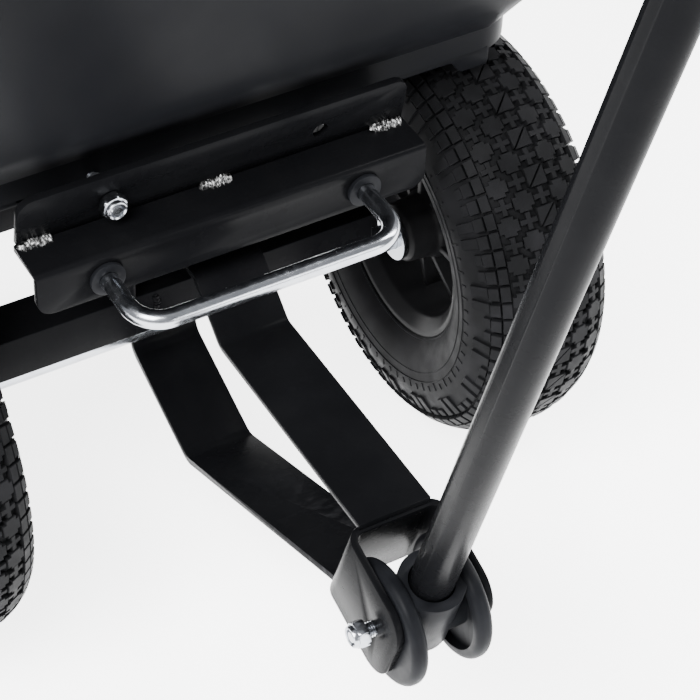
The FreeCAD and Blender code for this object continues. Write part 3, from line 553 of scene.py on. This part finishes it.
def add_tread(bm, shape):
    radius = shape.points[0].y
    row_turn = 2 * math.pi / TREAD_ROWS
    cell = radius * row_turn / 2
    half = cell / 2 - GROOVE / 2
    for column in range(-OUTER_COLUMN, OUTER_COLUMN + 1):
        s = column * cell
        for row in range(TREAD_ROWS):
            stagger = 0.5 if column % 2 else 0.0
            turn = (row + stagger) * row_turn
            if column == 0:
                add_stud(bm, shape, triangle_half(s, turn, half + 0.4 * MM, radius, 1), GROOVE_DEPTH)
                add_stud(bm, shape, triangle_half(s, turn, half + 0.4 * MM, radius, -1), GROOVE_DEPTH)
            else:
                block = notched_square(s, turn, half + 0.5 * MM, 2.1 * MM, radius)
                add_stud(bm, shape, block, GROOVE_DEPTH)
            add_stud(bm, shape, cross_outline(s, turn + row_turn / 2, half - 0.1 * MM, 1.5 * MM, radius),
                     GROOVE_DEPTH - 0.5 * MM)
    for side in (-1, 1):
        add_shoulder(bm, shape, side, (OUTER_COLUMN + 0.5) * cell + 0.5 * MM, row_turn)


def add_shoulder(bm, shape, side, start, row_turn):
    """Lugs that run over the shoulder, cut by thin sipes."""
    for row in range(TREAD_ROWS):
        for part, (share0, share1) in enumerate(((0.03, 0.47), (0.53, 0.97))):
            long_lug = (row + part) % 2 == 0
            end = start + (24 if long_lug else 17) * MM
            bands = ((start, start + 5.2 * MM), (start + 6.0 * MM, start + 11.6 * MM),
                     (start + 12.4 * MM, end))
            for band, (s0, s1) in enumerate(bands):
                inset = 0.03 * band
                turn0 = (row + share0 + inset) * row_turn
                turn1 = (row + share1 - inset) * row_turn
                lift = GROOVE_DEPTH if band < 2 else 1.6 * MM
                add_stud(bm, shape, rectangle(side * s0, side * s1, turn0, turn1), lift)


def add_sidewall_rings(bm, shape):
    """Fine raised rings and short ribs on both sidewalls."""
    for side in (-1, 1):
        for share, width, lift in ((0.66, 0.5, 0.5), (0.72, 0.35, 0.3), (0.93, 0.9, 0.7)):
            s = side * shape.total * share
            profile = []
            ridge = ((-width, -0.3), (-width * 0.5, lift), (width * 0.5, lift), (width, -0.3))
            for offset, height in ridge:
                point = shape.place(s + offset * MM, 0.0, height * MM)
                profile.append((point.x, point.y))
            lathe(bm, profile, Matrix(), 120)
        for k in range(TREAD_ROWS * 2):
            turn = 2 * math.pi * (k + 0.5) / (TREAD_ROWS * 2)
            s0 = shape.total * 0.60
            s1 = shape.total * (0.64 if k % 2 else 0.655)
            add_stud(bm, shape, rectangle(side * s0, side * s1, turn - 0.006, turn + 0.006), 0.45 * MM,
                     bevel=0.15 * MM)


def rim_mesh():
    """Moulded rim about the origin: lipped barrel, hub tube and thin tapered spokes."""
    low, high = low_corner("rim_front_right"), high_corner("rim_front_right")
    flange = (high.z - low.z) / 2
    hub_half = (high.x - low.x) / 2
    barrel = flange - 7 * MM
    half = 31 * MM
    bm = bmesh.new()
    profile = [(-half, flange), (-half + 3.5 * MM, flange - 0.5 * MM), (-half + 5 * MM, barrel),
               (half - 5 * MM, barrel), (half - 3.5 * MM, flange - 0.5 * MM), (half, flange),
               (half, flange - 3 * MM), (half - 7 * MM, barrel - 4 * MM), (6 * MM, barrel - 6.5 * MM),
               (-6 * MM, barrel - 6.5 * MM), (-half + 7 * MM, barrel - 4 * MM), (-half, flange - 3 * MM)]
    lathe(bm, rounded(profile, 1.4 * MM, 3), Matrix(), 120)
    bore = 10.2 * MM
    hub = [(-hub_half, bore), (-hub_half, 15 * MM), (-hub_half + 2 * MM, 17.5 * MM), (-15 * MM, 19 * MM),
           (-12 * MM, 21 * MM), (12 * MM, 21 * MM), (15 * MM, 19 * MM), (hub_half - 2 * MM, 17.5 * MM),
           (hub_half, 15 * MM), (hub_half, bore)]
    lathe(bm, rounded(hub, 1.2 * MM, 3), Matrix(), 72)
    barrel_and_hub = from_bmesh(bm, "rim")
    ribs = bmesh.new()
    for k in range(SPOKES):
        matrix = Matrix.Rotation(2 * math.pi * k / SPOKES, 4, "X")
        add_spoke(ribs, matrix, 18 * MM, barrel - 5 * MM)
    spokes = with_modifiers(from_bmesh(ribs, "spokes"), ("BEVEL", {"width": 0.7 * MM, "segments": 2}))
    joined = bmesh.new()
    joined.from_mesh(barrel_and_hub)
    joined.from_mesh(spokes)
    mesh = bpy.data.meshes.new("rim")
    joined.to_mesh(mesh)
    joined.free()
    return mesh


def add_spoke(bm, matrix, inner, outer):
    """Thin rib, wider along the axle at the hub than at the barrel."""
    ring = []
    for radius, half_axial, half_thick in ((inner, 14 * MM, 2.4 * MM), (outer, 8 * MM, 1.9 * MM)):
        ring.append([bm.verts.new(matrix @ Vector((x, y, radius))) for x, y in (
            (-half_axial, -half_thick), (half_axial, -half_thick), (half_axial, half_thick),
            (-half_axial, half_thick))])
    for i in range(4):
        j = (i + 1) % 4
        bm.faces.new((ring[0][i], ring[0][j], ring[1][j], ring[1][i]))
    bm.faces.new(ring[0])
    bm.faces.new(ring[1])


def valve_mesh():
    """Rubber-footed valve stem with a wider cap, along Z from the barrel inwards."""
    bm = bmesh.new()
    profile = [(0, 0.1 * MM), (0, 4.2 * MM), (5 * MM, 3.4 * MM), (20 * MM, 3.0 * MM),
               (21 * MM, 3.8 * MM), (29 * MM, 3.8 * MM), (30 * MM, 0.1 * MM)]
    lathe(bm, rounded(profile, 0.6 * MM, 3), Matrix.Rotation(math.radians(90), 4, "Y"), 20)
    return from_bmesh(bm, "valve")


def make_wheels():
    tyre = tyre_mesh()
    rim = rim_mesh()
    valve = valve_mesh()
    for index, name in enumerate(WHEELS):
        body = "wheel_" + name
        side = -1.0 if "left" in name else 1.0
        centre = middle("tyre_" + name)
        spin = Matrix.Rotation(0.37 * index, 4, "X")
        face = Matrix.Scale(side, 4, (1, 0, 0))
        place = Matrix.Translation(centre) @ face @ spin
        looks = ((tyre, "tyre_" + name, "tyre_rubber"), (rim, "rim_" + name, "rim_plastic"))
        for source, node, slot in looks:
            mesh = source.copy()
            mesh.transform(place)
            if side < 0:
                mesh.flip_normals()
            piece = new_object(node + "_look", mesh, MATERIALS[slot], body, 32.0)
            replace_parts(piece, node)
        mesh = valve.copy()
        turn = Matrix.Rotation(math.radians(20), 4, "X")
        mesh.transform(place @ turn @ Matrix.Translation((14 * MM, 0, 51 * MM)))
        new_object("valve_" + name, mesh, MATERIALS["grip_rubber"], body)
        plain(("bushes_" + name,))


# ---------------------------------------------------------------- tub

TUB_ROWS = 10
ARC_STEPS = 14
WALL = 4 * MM


class TubShape:
    """Levels of the tub from its foot to its rim: height, front, rear, half width and corner radius."""

    def __init__(self):
        low, high = low_corner("tub"), high_corner("tub")
        self.high = high
        rim = 16 * MM
        top_half = high.x - rim
        front = low.y + rim
        rear = high.y - rim
        top = high.z
        foot = top - 273 * MM
        self.rim = rim
        self.foot = foot
        self.base_front = front + 88 * MM
        self.base_half = top_half - 45 * MM
        self.levels = [
            (foot, front + 88 * MM, rear - 71 * MM, top_half - 45 * MM, 26 * MM),
            (foot + 15 * MM, front + 88 * MM, rear - 71 * MM, top_half - 45 * MM, 26 * MM),
            (foot + 26 * MM, front + 80 * MM, rear - 65 * MM, top_half - 41 * MM, 30 * MM),
            (foot + 40 * MM, front + 69.5 * MM, rear - 58 * MM, top_half - 34.5 * MM, 37 * MM),
            (foot + 46.5 * MM, front + 66 * MM, rear - 55.5 * MM, top_half - 31.8 * MM, 40 * MM),
            (foot + 58 * MM, front + 62.0 * MM, rear - 53.0 * MM, top_half - 30.4 * MM, 42 * MM),
            (foot + 160 * MM, front + 31 * MM, rear - 27 * MM, top_half - 16 * MM, 52 * MM),
            (top - 14 * MM, front + 3.0 * MM, rear - 3.0 * MM, top_half - 1.5 * MM, 61 * MM),
            (top - 5 * MM, front, rear, top_half, 62 * MM),
        ]

    def ring(self, level, inset=0.0):
        """Outline of one level, moved inwards by inset."""
        height, front, rear, half, radius = level
        half -= inset
        front += inset
        rear -= inset
        radius = max(radius - inset, 5 * MM)
        corners = ((half - radius, front + radius, -90), (half - radius, rear - radius, 0),
                   (radius - half, rear - radius, 90), (radius - half, front + radius, 180))
        points = []
        for i, (x, y, start) in enumerate(corners):
            for k in range(ARC_STEPS + 1):
                turn = math.radians(start + 90 * k / ARC_STEPS)
                points.append(Vector((x + radius * math.cos(turn), y + radius * math.sin(turn), height)))
            x2, y2, start2 = corners[(i + 1) % 4]
            turn = math.radians(start2)
            follow = Vector((x2 + radius * math.cos(turn), y2 + radius * math.sin(turn), height))
            last = points[-1]
            for k in range(1, TUB_ROWS):
                points.append(last.lerp(follow, k / TUB_ROWS))
        return points


def bridge(bm, rings):
    for lower, upper in zip(rings, rings[1:]):
        count = len(lower)
        for i in range(count):
            j = (i + 1) % count
            bm.faces.new((lower[i], lower[j], upper[j], upper[i]))


def add_ring(bm, points):
    return [bm.verts.new(p) for p in points]


def rim_levels(shape):
    """The rolled rim in section, from the wall outwards, over and back down inside the wall."""
    _, front, rear, half, radius = shape.levels[-1]
    top = shape.high.z
    section = [(2.5, -3.0), (6.0, -1.6), (10.5, -1.0), (14.0, -2.2), (15.7, -5.0), (15.9, -9.0),
               (15.2, -13.6), (14.2, -13.9), (13.4, -13.0), (12.8, -8.0), (11.0, -5.2), (6.0, -4.6),
               (0.8, -6.2), (-2.6, -6.0), (-3.8, -3.2), (-2.2, -0.4), (0.4, 0.0)]
    rows = []
    for out, down in section:
        grow = out * MM
        rows.append((top + down * MM, front - grow, rear + grow, half + grow, radius + grow))
    return rows


def tub_mesh():
    shape = TubShape()
    bm = bmesh.new()
    outer = [add_ring(bm, shape.ring(level)) for level in shape.levels]
    bridge(bm, outer)
    inner_levels = [(shape.foot + 14 * MM,) + shape.levels[0][1:]] + shape.levels[2:]
    inner = [add_ring(bm, shape.ring(level, WALL)) for level in inner_levels]
    bridge(bm, inner)
    bm.faces.new(inner[0])
    underside = [add_ring(bm, shape.ring((shape.foot,) + shape.levels[0][1:], WALL)),
                 add_ring(bm, shape.ring((shape.foot + 10 * MM,) + shape.levels[0][1:], WALL))]
    bridge(bm, [outer[0]] + underside)
    bm.faces.new(underside[1])
    rim = [add_ring(bm, shape.ring(level)) for level in rim_levels(shape)]
    bridge(bm, rim + [rim[0]])
    return from_bmesh(bm, "tub_shell")


def skirt_mesh():
    """Apron under the front wall: deeper towards the corners, round the middle of the chassis higher."""
    shape = TubShape()
    front = shape.base_front
    half = shape.base_half
    low = low_corner("tub").z
    step = 152 * MM
    top = shape.foot + 2 * MM
    outline = [(-half + 20 * MM, top), (half - 20 * MM, top), (half - 20 * MM, low), (step + 5 * MM, low),
               (step, low + 8 * MM), (-step, low + 8 * MM), (-step - 5 * MM, low), (20 * MM - half, low)]
    bm = bmesh.new()
    rows = []
    for y in (front, front + WALL):
        rows.append([bm.verts.new((x, y, z)) for x, z in rounded(outline, 2.5 * MM, 3)])
    bridge(bm, rows)
    bm.faces.new(rows[0])
    bm.faces.new(rows[1])
    return with_modifiers(from_bmesh(bm, "tub_skirt"), ("BEVEL", {"width": 0.8 * MM, "segments": 2}))


def floor_ribs_mesh():
    """Two long ribs under the floor that sit on the rails."""
    shape = TubShape()
    rail_x = high_corner("chassis_rails").x - 12.5 * MM
    bm = bmesh.new()
    for side in (-1, 1):
        x = side * rail_x
        add_box(bm, (x - 7 * MM, shape.base_front + 2 * MM, shape.foot),
                (x + 7 * MM, shape.levels[0][2] - 2 * MM, shape.foot + 11 * MM))
    return with_modifiers(from_bmesh(bm, "tub_ribs"), ("BEVEL", {"width": 1.2 * MM, "segments": 2}))


def cut_bolt_holes(piece):
    """Bores the two holes for the bracket's bolts through the front wall."""
    bolt = middle("latch_bolt")
    front = TubShape().base_front
    for side in (-1, 1):
        bm = bmesh.new()
        profile = [(-8 * MM, 0.05 * MM), (-8 * MM, 4.02 * MM), (8 * MM, 4.02 * MM), (8 * MM, 0.05 * MM)]
        place = Matrix.Translation((bolt.x * side, front, bolt.z))
        lathe(bm, profile, place @ Matrix.Rotation(math.pi / 2, 4, "Z"), 24)
        cutter = bpy.data.objects.new("cutter", from_bmesh(bm, "cutter"))
        bpy.context.collection.objects.link(cutter)
        cut = piece.modifiers.new("bore", "BOOLEAN")
        cut.operation = "DIFFERENCE"
        cut.object = cutter
        cut.solver = "EXACT"
        graph = bpy.context.evaluated_depsgraph_get()
        mesh = bpy.data.meshes.new_from_object(piece.evaluated_get(graph))
        piece.modifiers.clear()
        piece.data = mesh
        bpy.data.objects.remove(cutter)


def make_tub():
    shell = new_object("tub_shell", tub_mesh(), MATERIALS["tub_plastic"], "tub", 30.0)
    skirt = new_object("tub_skirt", skirt_mesh(), MATERIALS["tub_plastic"], "tub", 30.0)
    new_object("tub_ribs", floor_ribs_mesh(), MATERIALS["tub_plastic"], "tub", 30.0)
    cut_bolt_holes(skirt)
    for piece in (shell, skirt):
        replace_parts(piece, "tub")


# ---------------------------------------------------------------- threads, nuts and welds

ACROSS_FLATS = 13 * MM
BOLT_RADIUS = 4 * MM
CLOSED_BORE = 0.1 * MM
PAINTED_WELD_WIDTH = 4.5 * MM
NUT_STEPS = 72


def thread_mesh(origin, along, radius, length, pitch=1.25 * MM):
    """Screw thread with a real helix: a ridge wound round a core."""
    bm = bmesh.new()
    matrix = axis_matrix(origin, along, (0.31, 0.2, 0.93))
    steps = 28
    turns = int(length / pitch)
    depth = 0.55 * MM
    rows = []
    for k in range(turns * steps + 1):
        turn = 2 * math.pi * k / steps
        start = pitch * k / steps
        row = []
        for share, height in ((0.0, 0.0), (0.35, 1.0), (0.5, 1.0), (0.85, 0.0)):
            r = radius - depth + depth * height
            x = min(start + share * pitch, length)
            row.append(bm.verts.new(matrix @ Vector((x, r * math.cos(turn), r * math.sin(turn)))))
        rows.append(row)
    for here, there in zip(rows, rows[1:]):
        for i in range(3):
            bm.faces.new((here[i], here[i + 1], there[i + 1], there[i]))
    core = radius - depth - 0.02 * MM
    lathe(bm, [(0, 0.05 * MM), (0, core), (length - 0.4 * MM, core), (length + 0.3 * MM, core - 0.7 * MM),
               (length + 0.3 * MM, 0.05 * MM)], matrix, 28)
    return from_bmesh(bm, "thread")


def round_ring(bm, matrix, level, radius):
    ring = []
    for k in range(NUT_STEPS):
        turn = 2 * math.pi * k / NUT_STEPS
        point = Vector((level, radius * math.cos(turn), radius * math.sin(turn)))
        ring.append(bm.verts.new(matrix @ point))
    return ring


def nut_mesh(origin, along, across, height, bore):
    """Chamfered hexagon with a round collar and a bore: a lock nut or, with a tiny bore, a bolt head."""
    matrix = axis_matrix(origin, along, (0.2, 0.31, 0.93))
    hexagon_height = height * 0.70
    flat = across / 2
    bm = bmesh.new()
    rings = []
    for level, chamfer in ((0.0, 0.6 * MM), (0.7 * MM, 0.0), (hexagon_height - 0.9 * MM, 0.0),
                           (hexagon_height, 0.9 * MM)):
        ring = []
        for k in range(NUT_STEPS):
            turn = 2 * math.pi * k / NUT_STEPS
            local = (turn + math.pi / 6) % (math.pi / 3) - math.pi / 6
            reach = flat / math.cos(local)
            limit = flat / math.cos(math.pi / 6) - chamfer
            r = min(reach, limit)
            ring.append(bm.verts.new(matrix @ Vector((level, r * math.cos(turn), r * math.sin(turn)))))
        rings.append(ring)
    collar = ((hexagon_height + 0.2 * MM, 0.90), (height - 0.9 * MM, 0.88), (height - 0.2 * MM, 0.82),
              (height, 0.74))
    for level, share in collar:
        rings.append(round_ring(bm, matrix, level, flat * share))
    for level in (height - 0.5 * MM, 0.0):
        rings.append(round_ring(bm, matrix, level, bore))
    bridge(bm, rings + [rings[0]])
    return from_bmesh(bm, "nut")


def weld_mesh(start, end, up, width, seed):
    """Rippled bead from start to end, made of overlapping half-moons."""
    run = end - start
    length = run.length
    along = run.normalized()
    up = Vector(up).normalized()
    side = along.cross(up).normalized()
    rows = []
    bm = bmesh.new()
    count = 110
    around = 14
    for k in range(count + 1):
        t = k / count
        ripple = abs(math.sin(t * length / (2.4 * MM) * math.pi + 0.6 * math.sin(9 * t + seed)))
        end_taper = min(1.0, math.sqrt(max(0.0, min(t, 1 - t) * 9)))
        wander = 0.6 * MM * math.sin(13 * t + seed)
        row = []
        for j in range(around + 1):
            turn = math.pi * j / around
            wave = noise.noise(Vector((t * 26, math.cos(turn) * 2.1, seed)))
            r = width / 2 * end_taper * (0.72 + 0.24 * ripple + 0.30 * wave)
            bow = 0.9 * MM * math.sin(turn) * (1 - ripple)
            place = start + along * (t * length - bow) + side * (wander + r * math.cos(turn))
            place += up * (r * 0.62 * math.sin(turn) - 0.4 * MM)
            row.append(bm.verts.new(place))
        rows.append(row)
    for here, there in zip(rows, rows[1:]):
        for j in range(around):
            bm.faces.new((here[j], here[j + 1], there[j + 1], there[j]))
        bm.faces.new((here[around], here[0], there[0], there[around]))
    bm.faces.new(rows[0])
    bm.faces.new(rows[-1])
    return from_bmesh(bm, "weld")


def make_bracket_welds():
    """Three bare beads in the corner between the angle and the leaning plate."""
    top = high_corner("latch_lower_angle").z
    half = high_corner("latch_upper_plate").x
    y = middle("latch_upper_plate").y - 1.0 * MM
    centres = (-half + 9.5 * MM, -0.5 * MM, half - 10 * MM)
    for index, x in enumerate(centres):
        start = Vector((x - 9.5 * MM, y, top + 0.6 * MM))
        end = Vector((x + 9.5 * MM, y, top + 0.6 * MM))
        mesh = weld_mesh(start, end, (0, -0.55, 0.83), 8.5 * MM, 1.7 * index)
        new_object(f"bracket_weld_{index}", mesh, BARE_WELD, "tub", 60.0)


def painted_weld(name, start, end, up, seed):
    """Painted bead on the front axle's steelwork."""
    mesh = weld_mesh(Vector(start), Vector(end), up, PAINTED_WELD_WIDTH, seed)
    new_object(name, mesh, MATERIALS["black_steel"], "front_axle", 60.0)


def make_painted_welds():
    """Painted beads at the low end of the upper strap and on the front of the beam."""
    half = 18 * MM
    strap_low = low_corner("upper_draw_strap")
    y = strap_low.y + 1.5 * MM
    z = strap_low.z + 1.0 * MM
    painted_weld("strap_weld", (-half, y, z), (half, y, z), (0, -0.7, 0.7), 3.0)
    beam_front = low_corner("front_axle_beam").y - 0.5 * MM
    beam_top = high_corner("front_axle_beam").z
    for index, side in enumerate((-1, 1)):
        x = side * half
        low = (x, beam_front, beam_top - 24 * MM)
        high = (x, beam_front, beam_top - 2 * MM)
        painted_weld(f"beam_weld_{index}", low, high, (0, -1, 0), 5.0 + index)


def zinc_piece(name, mesh, body, smooth_angle):
    return new_object(name, mesh, MATERIALS["zinc_plate"], body, smooth_angle)


def make_lock_nut(node, along, origin, height):
    mesh = nut_mesh(origin, along, ACROSS_FLATS, height, BOLT_RADIUS)
    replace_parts(zinc_piece(node + "_look", mesh, BODY_OF[node], 28.0), node)


def make_bolt(node, along, start, length, head_height):
    """Threaded shank along its axis from start, with its head the other way."""
    thread = thread_mesh(start, along, BOLT_RADIUS, length)
    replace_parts(zinc_piece(node + "_thread", thread, BODY_OF[node], 40.0), node)
    back = [-share for share in along]
    head = nut_mesh(start, back, ACROSS_FLATS, head_height, CLOSED_BORE)
    zinc_piece(node + "_head", head, BODY_OF[node], 28.0)


def make_latch_fastener():
    along = (0, -1, 0)
    low, high = low_corner("latch_nut"), high_corner("latch_nut")
    centre = middle("latch_nut")
    make_lock_nut("latch_nut", along, (centre.x, high.y, centre.z), high.y - low.y)
    low, high = low_corner("latch_bolt"), high_corner("latch_bolt")
    head_height = 5 * MM
    start = (centre.x, high.y - head_height, centre.z)
    make_bolt("latch_bolt", along, start, high.y - low.y - head_height - 0.3 * MM, head_height)


def make_pivot_fastener():
    along = (-1, 0, 0)
    low, high = low_corner("pivot_nut"), high_corner("pivot_nut")
    centre = middle("pivot_nut")
    make_lock_nut("pivot_nut", along, (high.x, centre.y, centre.z), high.x - low.x)
    low, high = low_corner("pivot_bolt"), high_corner("pivot_bolt")
    head_height = 5.3 * MM
    start = (high.x - head_height, centre.y, centre.z)
    make_bolt("pivot_bolt", along, start, high.x - low.x - head_height - 0.3 * MM, head_height)


# ---------------------------------------------------------------- plain CAD nodes

def plain(nodes):
    """Gives CAD nodes, whose shape stays, their surface."""
    for node in nodes:
        target = frame["nodes"][node]
        if not target.material_slots:
            target.data.materials.append(surface_of(node))
        for slot in target.material_slots:
            slot.material = surface_of(node)


EDGED = {
    0.6 * MM: ("latch_lower_angle", "latch_upper_plate", "drawbar_clevis", "upper_draw_strap",
               "lower_draw_strap", "latch_catch_plates", "front_cross_member", "steering_lower_plate",
               "steering_upper_plate", "steering_uprights", "front_axle_beam", "rear_axle_beam",
               "rear_axle_uprights", "rear_axle_braces", "tub_hinge_lugs", "tub_hinge_brackets",
               "chassis_rails", "cross_members", "steering_spacers", "drawbar_hub"),
    0.3 * MM: ("drawbar_lower_tube", "drawbar_upper_tube", "rail_end_caps", "front_axle_washers",
               "rear_axle_washers", "handle_washers", "handle_bushes"),
}


def make_steelwork():
    for width, nodes in EDGED.items():
        for node in nodes:
            soft_edged(node, width)


make_camera()
make_lights()
make_floor()
make_wheels()
make_tub()
make_steelwork()
make_bracket_welds()
make_painted_welds()
make_latch_fastener()
make_pivot_fastener()
plain([node for node in frame["nodes"] if not node.startswith("bushes_")])
